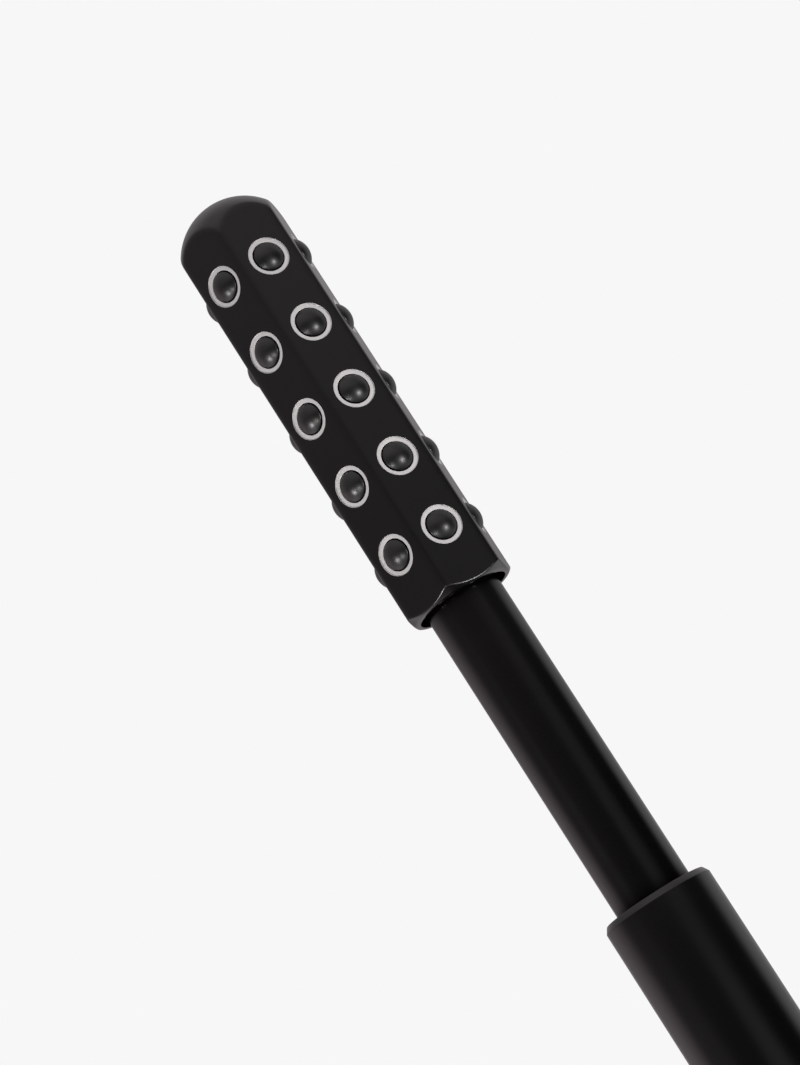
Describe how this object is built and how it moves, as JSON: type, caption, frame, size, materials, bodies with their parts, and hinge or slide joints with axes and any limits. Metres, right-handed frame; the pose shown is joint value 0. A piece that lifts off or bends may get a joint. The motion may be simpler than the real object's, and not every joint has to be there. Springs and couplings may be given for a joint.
{
  "type": "facial roller",
  "caption": "Hand-held facial roller: a six-sided black barrel set with polished round stones spins on a slim neck above a round handle.",
  "frame": {"origin": "centre of the handle's flat lower end", "axes": "+Z along the tool's axis from the handle to the tip of the barrel, -Y is the outward normal of barrel face A at rest, +X completes the right-handed set"},
  "size_m": [0.0204, 0.02, 0.2098],
  "materials": {
    "black_anodised": "satin black anodised",
    "plain_aluminium": "fine turned, uncoated",
    "bearing_steel": "ground bright",
    "zinc_plated_steel": "zinc plated",
    "polished_stone": "polished dark grey",
    "black_rubber": "matt"
  },
  "bodies": {
    "root": {"handle_sleeve": "black_anodised", "handle_end_cap": "black_anodised", "end_cap_seal_ring": "black_rubber", "neck_tube": "black_anodised", "neck_jam_nut": "plain_aluminium", "axle_carrier": "plain_aluminium", "axle_pin": "bearing_steel", "axle_lock_nut": "zinc_plated_steel", "axle_retaining_screw": "zinc_plated_steel", "axle_retaining_washer": "zinc_plated_steel", "lower_axle_collar": "bearing_steel", "inner_race_spacer": "plain_aluminium", "lower_bearing_inner_race": "bearing_steel", "upper_bearing_inner_race": "bearing_steel"},
    "head": {"head_barrel": "black_anodised", "outer_race_spacer": "plain_aluminium", "lower_bearing_outer_race": "bearing_steel", "upper_bearing_outer_race": "bearing_steel", "bearing_snap_ring": "bearing_steel", "stone_a1": "polished_stone", "stone_a2": "polished_stone", "stone_a3": "polished_stone", "stone_a4": "polished_stone", "stone_a5": "polished_stone", "stone_b1": "polished_stone", "stone_b2": "polished_stone", "stone_b3": "polished_stone", "stone_b4": "polished_stone", "stone_b5": "polished_stone", "stone_c1": "polished_stone", "stone_c2": "polished_stone", "stone_c3": "polished_stone", "stone_c4": "polished_stone", "stone_c5": "polished_stone", "stone_d1": "polished_stone", "stone_d2": "polished_stone", "stone_d3": "polished_stone", "stone_d4": "polished_stone", "stone_d5": "polished_stone", "stone_e1": "polished_stone", "stone_e2": "polished_stone", "stone_e3": "polished_stone", "stone_e4": "polished_stone", "stone_e5": "polished_stone", "stone_f1": "polished_stone", "stone_f2": "polished_stone", "stone_f3": "polished_stone", "stone_f4": "polished_stone", "stone_f5": "polished_stone"},
    "lower_balls": {"lower_bearing_balls": "bearing_steel"},
    "upper_balls": {"upper_bearing_balls": "bearing_steel"}
  },
  "joints": [
    {"name": "head_spin", "type": "hinge", "parent": "root", "child": "head", "pos_m": [0, 0, 0.13005], "axis": [0, 0, 1], "continuous": true},
    {"name": "lower_balls_roll", "type": "hinge", "parent": "root", "child": "lower_balls", "pos_m": [0, 0, 0.13975], "axis": [0, 0, 1], "continuous": true},
    {"name": "upper_balls_roll", "type": "hinge", "parent": "root", "child": "upper_balls", "pos_m": [0, 0, 0.18755], "axis": [0, 0, 1], "continuous": true}
  ],
  "couplings": [
    {"joint": "lower_balls_roll", "follows": "head_spin", "ratio": 0.6125},
    {"joint": "upper_balls_roll", "follows": "head_spin", "ratio": 0.6125}
  ]
}
